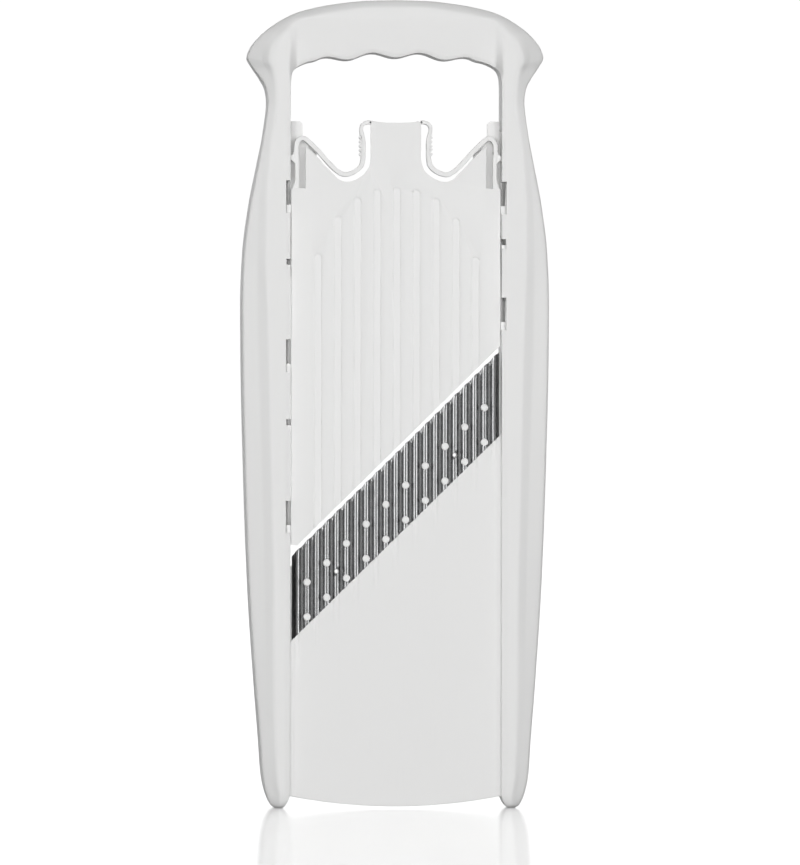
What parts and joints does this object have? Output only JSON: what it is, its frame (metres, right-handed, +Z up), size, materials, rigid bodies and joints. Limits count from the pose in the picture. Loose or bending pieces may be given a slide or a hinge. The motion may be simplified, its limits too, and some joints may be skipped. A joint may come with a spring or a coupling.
{
  "type": "mandoline slicer",
  "caption": "Hand-held mandoline slicer with a corrugated diagonal blade for waffle cuts, a looped handle and a click-adjusted sliding insert that sets the slice thickness.",
  "frame": {"origin": "bottom centre of the bounding box, on the surface that the two rail tips stand on", "axes": "+Z up the slicer to the handle, the working face looks along -Y, +X to the right seen from the working face"},
  "size_m": [0.1392, 0.032, 0.365],
  "materials": {
    "white_frame": "satin moulded white, polished on the run-off table",
    "white_insert": "satin moulded white",
    "white_latch": "fine matte on the finger grips",
    "blade_stakes": "heat-formed heads",
    "blade_steel": "bright rolled stainless with a ground edge"
  },
  "bodies": {
    "frame": {"handle": "white_frame", "left_rail": "white_frame", "right_rail": "white_frame", "run_off_table": "white_frame", "blade_bed": "white_frame", "bed_rib": "white_frame", "lower_cross_rib": "white_frame", "upper_cross_rib": "white_frame", "left_gusset": "white_frame", "right_gusset": "white_frame", "left_rail_rib_55": "white_frame", "right_rail_rib_55": "white_frame", "left_rail_rib_150": "white_frame", "right_rail_rib_150": "white_frame", "left_rail_rib_250": "white_frame", "right_rail_rib_250": "white_frame", "cutting_blade": "blade_steel", "blade_stake_upper_1": "blade_stakes", "blade_stake_upper_2": "blade_stakes", "blade_stake_upper_3": "blade_stakes", "blade_stake_upper_4": "blade_stakes", "blade_stake_upper_5": "blade_stakes", "blade_stake_upper_6": "blade_stakes", "blade_stake_upper_7": "blade_stakes", "blade_stake_upper_8": "blade_stakes", "blade_stake_upper_9": "blade_stakes", "blade_stake_upper_10": "blade_stakes", "blade_stake_lower_1": "blade_stakes", "blade_stake_lower_2": "blade_stakes", "blade_stake_lower_3": "blade_stakes", "blade_stake_lower_4": "blade_stakes", "blade_stake_lower_5": "blade_stakes", "blade_stake_lower_6": "blade_stakes", "blade_stake_lower_7": "blade_stakes", "blade_stake_lower_8": "blade_stakes", "blade_stake_lower_9": "blade_stakes", "blade_stake_lower_10": "blade_stakes"},
    "insert": {"insert_plate": "white_insert", "insert_lug_left_1": "white_insert", "insert_lug_left_2": "white_insert", "insert_lug_left_3": "white_insert", "insert_lug_right_1": "white_insert", "insert_lug_right_2": "white_insert", "insert_back_rib_left": "white_insert", "insert_back_rib_right": "white_insert"},
    "left_latch": {"left_latch_arm": "white_latch", "left_spring_band": "white_latch", "left_finger_grip": "white_latch"},
    "right_latch": {"right_latch_arm": "white_latch", "right_spring_band": "white_latch", "right_finger_grip": "white_latch"}
  },
  "joints": [
    {"name": "insert_slide", "type": "slide", "parent": "frame", "child": "insert", "axis": [0, 0.3745, 0.9272], "range_m": [0, 0.0112]},
    {"name": "left_latch_squeeze", "type": "slide", "parent": "insert", "child": "left_latch", "axis": [1, 0, 0], "range_m": [0, 0.0012], "stiffness_N_per_m": 1500},
    {"name": "right_latch_squeeze", "type": "slide", "parent": "insert", "child": "right_latch", "axis": [-1, 0, 0], "range_m": [0, 0.0012], "stiffness_N_per_m": 1500}
  ]
}
